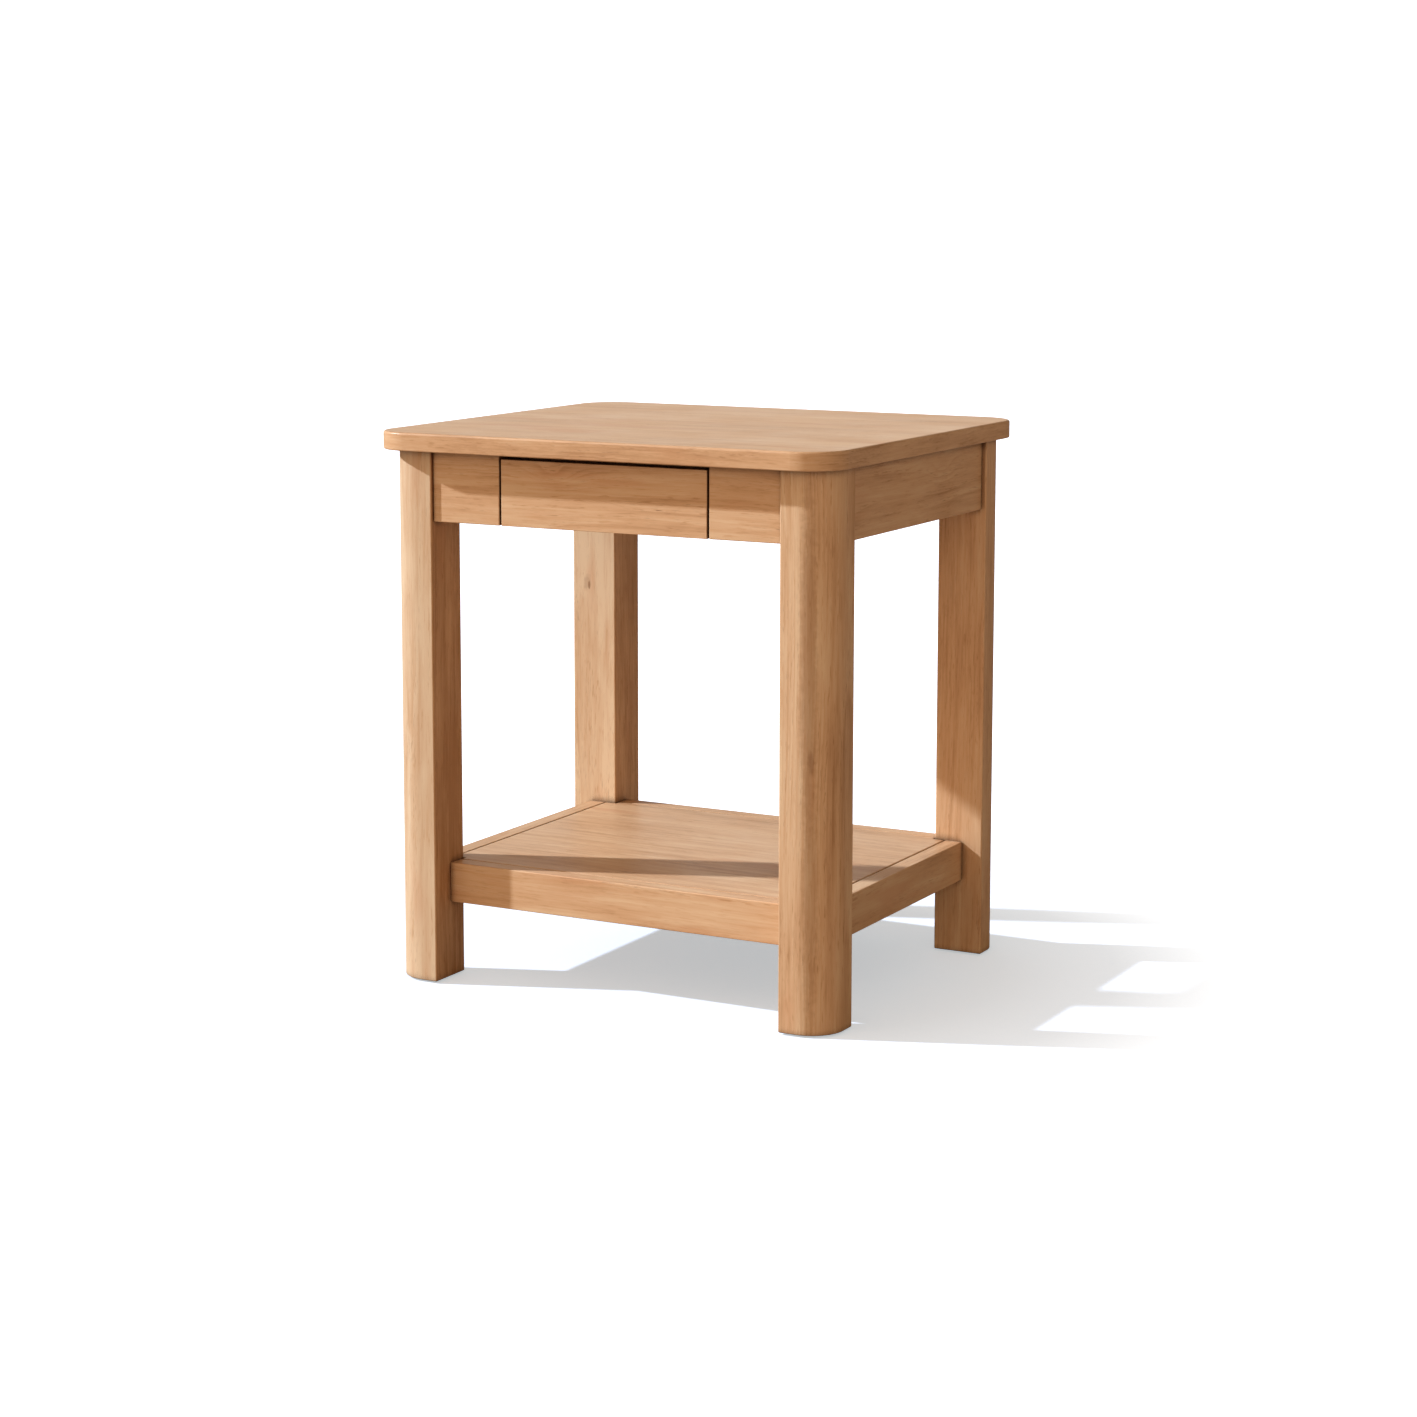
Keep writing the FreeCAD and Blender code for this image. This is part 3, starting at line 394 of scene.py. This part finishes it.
def finish_frame():
    paint(oak_top(), "table_top")
    # on the legs, the +X sides are deepened as painted shade, and the other sides are tinted cooler as
    # painted light
    legs = {
        "leg_front_left": dict(
            number=3, pith=(-0.26, -0.30), lighter=0.20, right_side_shade=0.66, lit_side_tint=(0.94, 1.02, 1.11),
            spots=[(-0.224, -0.205, 0.252, 0.012, 0.0022, 0.34),
                   (-0.224, -0.205, 0.115, 0.013, 0.0024, 0.36)]),
        "leg_front_right": dict(
            number=5, pith=(0.30, -0.16), lighter=0.08, right_side_shade=0.08, lit_side_tint=(1.02, 1.07, 1.12),
            spots=[(0.232, -0.203, 0.392, 0.014, 0.0022, 0.45),
                   # the next two long streaks are painted shade down the rounded corner, where the leg
                   # turns from the light
                   (0.219, -0.203, 0.36, 0.20, 0.010, 0.26),
                   (0.222, -0.203, 0.13, 0.14, 0.009, 0.20),
                   (0.222, -0.203, 0.262, 0.012, 0.004, 0.30)]),
        "leg_rear_left": dict(
            number=8, pith=(-0.20, 0.30), lighter=0.22, right_side_shade=0.50, lit_side_tint=(1.04, 1.13, 1.22),
            knots=[(-0.2250, 0.153, 0.3585, 0.012, 0.0060, 0.010)],
            spots=[(-0.2245, 0.153, 0.3585, 0.0095, 0.0050, 0.24),
                   (-0.2220, 0.153, 0.3550, 0.0055, 0.0015, 0.6)]),
        "leg_rear_right": dict(number=11, pith=(0.33, 0.12)),
    }
    boards("Z", **legs)
    swirl = [(0.237, 0.055, 0.512, 0.030, 0.012, 0.008), (0.237, -0.07, 0.485, 0.06, 0.02, -0.006)]
    boards("X", front_apron_left=dict(number=13, pith=(-0.16, 0.43)),
           front_apron_right=dict(number=14, pith=(-0.15, 0.52), lighter=-0.09),
           rear_apron=dict(number=17, pith=(0.24, 0.50)))
    boards("Y", side_apron_left=dict(number=19, pith=(-0.28, 0.48)),
           side_apron_right=dict(number=22, pith=(0.29, 0.47), knots=swirl))
    boards("X", shelf_rail_front=dict(number=24, pith=(-0.24, 0.09)),
           shelf_rail_rear=dict(number=25, pith=(0.24, 0.09)),
           shelf_panel=dict(number=31, pith=(-0.04, 0.03), rough=0.42))
    boards("Y", shelf_rail_left=dict(number=27, pith=(-0.27, 0.11)),
           shelf_rail_right=dict(number=28, pith=(0.27, 0.11)))
    inner_y = ("drawer_guide_left", "drawer_guide_right", "shelf_cleat_left", "shelf_cleat_right")
    for number, name in enumerate(inner_y, 33):
        boards("Y", **{name: dict(number=number, pith=(0.2, 0.42), rough=0.6, lighter=0.08)})
    for number, name in enumerate(("tie_rail", "shelf_cleat_front", "shelf_cleat_rear"), 38):
        boards("X", **{name: dict(number=number, pith=(0.1, 0.42), rough=0.6, lighter=0.08)})


def finish_drawer():
    swirl = [(-0.055, -0.201, 0.512, 0.028, 0.012, 0.011)]
    box = dict(rough=0.55, lighter=0.1)
    boards("X", drawer_front=dict(number=15, pith=(-0.155, 0.46), knots=swirl),
           drawer_inner_front=dict(number=42, pith=(0.1, 0.40), **box),
           drawer_back=dict(number=43, pith=(0.1, 0.60), **box))
    boards("Y", drawer_side_left=dict(number=44, pith=(-0.16, 0.42), **box),
           drawer_side_right=dict(number=45, pith=(0.16, 0.42), **box))
    plywood = bare_wood("birch_plywood", linear(228, 200, 160), linear(203, 168, 124), "Y", 2)
    paint(plywood, "drawer_bottom")


def finish_fittings():
    beech = bare_wood("beech", linear(222, 186, 146), linear(196, 150, 108), "X", 1, 1400.0)
    paint(beech, *[n for n in NODES if n.endswith("dowels")])
    plated = steel("zinc_plate", linear(214, 216, 219), linear(168, 172, 178), 0.32, (900, 12, 900))
    paint(plated, "top_angles", *[n for n in NODES if n.startswith(("slide_outer_l", "slide_outer_r"))])
    paint(plated, "slide_inner_left", "slide_inner_right")
    paint(plated, *[n for n in NODES if n.startswith("corner_bracket")])
    rolled = steel("rolled_strip", linear(150, 152, 156), linear(104, 106, 110), 0.42, (900, 20, 900))
    paint(rolled, "slide_cage_left", "slide_cage_right")
    polished = steel("polished_ball", linear(232, 234, 238), linear(206, 208, 214), 0.14,
                     (300, 300, 300))
    paint(polished, "slide_balls_left", "slide_balls_right")
    fixings = steel("plated_fixings", linear(206, 201, 186), linear(150, 144, 130), 0.36,
                    (700, 700, 700))
    paint(fixings, "corner_bolts", "corner_nuts", "corner_washers")
    paint(fixings, *[n for n in NODES if n.endswith("screws")])
    nylon = moulded("dark_nylon", linear(52, 38, 30), linear(88, 72, 62), 0.55, 1800.0)
    paint(nylon, *[n for n in NODES if n.startswith("foot_glide")])
    bumper = moulded("soft_bumper", linear(196, 194, 190), linear(168, 166, 162), 0.5, 2600.0)
    paint(bumper, "drawer_bumpers")


# ---------------------------------------------------------------- floor, light and camera
FLOOR_REACH = 40.0
# (distance from the middle of the table in metres, glow): the floor glows as painted light, more further
# out, so that it lifts to white and the table's shadow on it fades
FLOOR_PAINTED_GLOW = [(0.12, (0.42, 0.455, 0.475, 1)), (0.30, (0.465, 0.49, 0.50, 1)),
              (0.42, (0.56, 0.585, 0.60, 1)), (0.52, (0.80, 0.825, 0.84, 1)), (0.64, grey(1.0))]
SUN_TRAVEL, SUN_STRENGTH, SUN_DEGREES, SUN_COLOUR = (1.5, 0.57, -1.0), 4.22, 1.6, (0.925, 0.985, 1.045)
ROOM_LOW, ROOM_HIGH = (0.335, 0.24, 0.15, 1), (0.15, 0.125, 0.10, 1)
ROOM_FRONT, ROOM_BEHIND = (1.38, 0.985, 0.645, 1), (0.84, 0.80, 0.72, 1)
BACKDROP_STRENGTH = 1.05
CAMERA_AZIMUTH, CAMERA_ELEVATION, CAMERA_DISTANCE = 28.5, 7.8, 3.105
CAMERA_TARGET, CAMERA_LENS, CAMERA_SHIFT = (-0.0151, 0.0011, 0.3818), 78.2, (0.013, -0.0836)


def make_floor():
    """A plain pale floor that glows, more so further out, as painted light that lifts it to white and
    fades the table's shadow. Light that bounces off it is warmer than what the camera sees."""
    mesh = bpy.data.meshes.new("floor")
    reach = FLOOR_REACH
    corners = [(-reach, -reach, 0), (reach, -reach, 0), (reach, reach, 0), (-reach, reach, 0)]
    mesh.from_pydata(corners, [], [(0, 1, 2, 3)])
    floor = bpy.data.objects.new("floor", mesh)
    SCENE.collection.objects.link(floor)
    material, t, bsdf = new_material("studio_floor", Roughness=0.9, Specular_IOR_Level=0.1)
    place = t.nodes.new("ShaderNodeTexCoord").outputs["Object"]
    paper = t.noise(t.vector("SCALE", place, 240.0), 2.0)
    white = t.mix(t.spread(paper, 0.3, 0.7), linear(213, 226, 252), linear(208, 221, 249))
    t.links.new(white, bsdf.inputs["Base Color"])
    away = t.vector("LENGTH", place, output="Value")
    # painted light: the floor glows, the more the further it is from the table
    t.links.new(t.ramp(away, FLOOR_PAINTED_GLOW), bsdf.inputs["Emission Color"])
    bsdf.inputs["Emission Strength"].default_value = 1.0
    bounce = t.add("ShaderNodeBsdfDiffuse", {"Color": (0.34, 0.27, 0.21, 1)})
    seen = t.nodes.new("ShaderNodeLightPath").outputs["Is Camera Ray"]
    mixed = t.nodes.new("ShaderNodeMixShader")
    for index, value in enumerate((seen, bounce, bsdf.outputs[0])):
        t.links.new(value, mixed.inputs[index])
    t.links.new(mixed.outputs[0], material.node_tree.nodes["Material Output"].inputs["Surface"])
    mesh.materials.append(material)


def make_light():
    """One crisp key from the left and a little in front, and a warm soft room around it."""
    travel = Vector(SUN_TRAVEL).normalized()
    data = bpy.data.lights.new("key", "SUN")
    data.energy = SUN_STRENGTH
    data.angle = math.radians(SUN_DEGREES)
    data.color = SUN_COLOUR
    key = bpy.data.objects.new("key", data)
    key.rotation_mode = "QUATERNION"
    key.rotation_quaternion = travel.to_track_quat("-Z", "Y")
    key.location = -travel * 3
    SCENE.collection.objects.link(key)

    world = bpy.data.worlds.new("studio")
    world.use_nodes = True
    SCENE.world = world
    t = Tree(world.node_tree)
    t.nodes.clear()
    x, y, z = t.split(t.nodes.new("ShaderNodeTexCoord").outputs["Generated"])
    room = t.mix(t.spread(z, 0.1, 0.9, smooth=True), ROOM_LOW, ROOM_HIGH)
    front = t.spread(y, 0.0, -0.9, smooth=True)
    front = t.math("MULTIPLY", front, t.spread(z, 0.15, 0.65, 1.0, 0.45))
    room = t.mix(front, room, ROOM_FRONT)
    behind = t.spread(y, 0.2, 0.8, smooth=True)
    behind = t.math("MULTIPLY", behind, t.spread(x, 0.1, -0.4, smooth=True))
    behind = t.math("MULTIPLY", behind, t.spread(z, 0.6, 0.2, smooth=True))
    room = t.mix(behind, room, ROOM_BEHIND)
    lit = t.add("ShaderNodeBackground", {"Color": room, "Strength": 1.0})
    plain = t.add("ShaderNodeBackground", {"Color": grey(1.0), "Strength": BACKDROP_STRENGTH})
    seen = t.nodes.new("ShaderNodeLightPath").outputs["Is Camera Ray"]
    final = t.nodes.new("ShaderNodeMixShader")
    for index, value in enumerate((seen, lit, plain)):
        t.links.new(value, final.inputs[index])
    out = t.nodes.new("ShaderNodeOutputWorld")
    t.links.new(final.outputs[0], out.inputs["Surface"])


def make_camera():
    """Seen from the front right, a little above the top."""
    azimuth, elevation = math.radians(CAMERA_AZIMUTH), math.radians(CAMERA_ELEVATION)
    level = math.cos(elevation)
    back = Vector((math.sin(azimuth) * level, -math.cos(azimuth) * level, math.sin(elevation)))
    data = bpy.data.cameras.new("camera")
    data.sensor_width = 36.0
    data.lens = CAMERA_LENS
    data.shift_x, data.shift_y = CAMERA_SHIFT
    data.clip_end = 200.0
    camera = bpy.data.objects.new("camera", data)
    camera.location = Vector(CAMERA_TARGET) + back * CAMERA_DISTANCE
    camera.rotation_euler = back.to_track_quat("Z", "Y").to_euler()
    SCENE.collection.objects.link(camera)
    SCENE.camera = camera


finish_frame()
finish_drawer()
finish_fittings()
make_floor()
make_light()
make_camera()
SCENE.view_settings.view_transform = "Standard"
